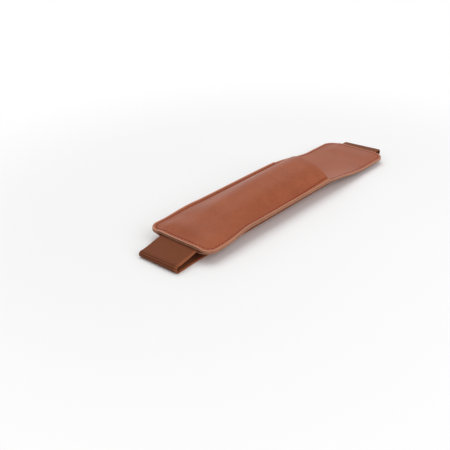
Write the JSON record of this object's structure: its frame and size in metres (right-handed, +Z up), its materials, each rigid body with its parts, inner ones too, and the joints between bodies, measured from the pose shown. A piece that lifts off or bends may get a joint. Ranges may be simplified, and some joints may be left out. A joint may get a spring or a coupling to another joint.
{
  "type": "pen sleeve with elastic band",
  "caption": "Flat stitched leather pen sleeve with a moulded open pocket and a longer back, held on a notebook cover by a wide elastic band.",
  "frame": {"origin": "middle of the underside of the band's back run", "axes": "+X along the sleeve from the bottom seam to the flap, +Y to the pocket's left seen from the front with the flap up, +Z up through the pocket"},
  "size_m": [0.2118, 0.045, 0.0197],
  "materials": {
    "leather": "smooth vegetable-tanned grain with a soft sheen and burnished edges",
    "elastic": "woven elastic with fine ribs across it",
    "thread": "waxed sewing thread"
  },
  "bodies": {
    "sleeve": {"front_panel": "leather", "back_panel": "leather", "backing_panel": "leather", "elastic_lower_tail": "elastic", "elastic_lower_turn": "elastic", "elastic_upper_turn": "elastic", "elastic_upper_tail": "elastic", "needle_thread": "thread", "bobbin_thread": "thread"},
    "band": {"elastic_back_run": "elastic"}
  },
  "joints": [
    {"name": "band_stretch", "type": "slide", "parent": "band", "child": "sleeve", "axis": [0, 0, 1], "range_m": [0, 0.018], "stiffness_N_per_m": 120, "springref_m": -0.01, "deforming": ["elastic_lower_turn", "elastic_upper_turn"]}
  ]
}
